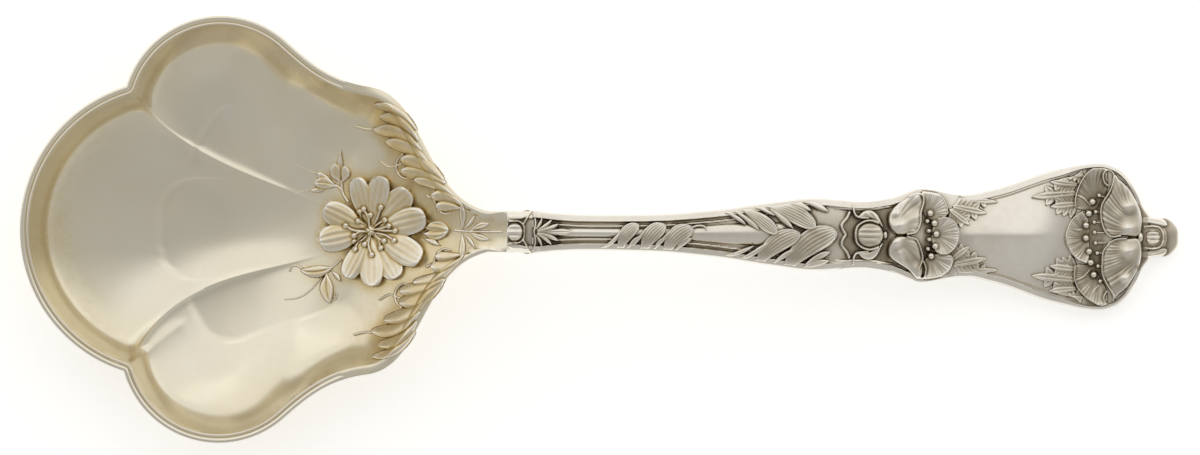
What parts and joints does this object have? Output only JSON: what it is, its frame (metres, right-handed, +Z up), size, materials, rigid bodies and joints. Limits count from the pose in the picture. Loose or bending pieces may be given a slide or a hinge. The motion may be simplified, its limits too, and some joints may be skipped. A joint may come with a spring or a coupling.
{
  "type": "bonbon spoon",
  "caption": "Sterling silver bonbon spoon with a gilt lobed bowl, a rose in relief at its neck and a handle of leaves and poppies ending in a bud.",
  "frame": {"origin": "middle of the flat under the bowl, on the table", "axes": "+X from the bowl along the handle to its end, +Z up out of the bowl, the spoon lying on its back"},
  "size_m": [0.12, 0.044, 0.012],
  "materials": {
    "gilt_silver": "polished, pale gilding over silver",
    "gilt_relief": "polished, pale gilding over silver, darker in the recesses",
    "polished_silver": "polished with fine wear",
    "silver_relief": "polished high points, oxidised recesses"
  },
  "bodies": {
    "root": {"bowl": "gilt_silver", "bowl_rim": "gilt_silver", "bowl_rose": "gilt_relief", "rose_stamens": "gilt_relief", "upper_rose_sprig": "gilt_relief", "lower_rose_sprig": "gilt_relief", "rose_bud": "gilt_relief", "upper_shoulder_plume": "gilt_relief", "lower_shoulder_plume": "gilt_relief", "neck_sprig": "gilt_relief", "collar": "silver_relief", "handle": "polished_silver", "palmette": "silver_relief", "stem_leaf": "silver_relief", "upper_stem_spray": "silver_relief", "lower_stem_spray": "silver_relief", "bracket": "silver_relief", "poppy_capsule": "silver_relief", "lower_poppy": "silver_relief", "upper_knop_leaf": "silver_relief", "lower_knop_leaf": "silver_relief", "upper_terminal_leaf": "silver_relief", "lower_terminal_leaf": "silver_relief", "terminal_poppy": "silver_relief", "upper_border": "polished_silver", "lower_border": "polished_silver", "finial": "silver_relief"}
  },
  "joints": []
}
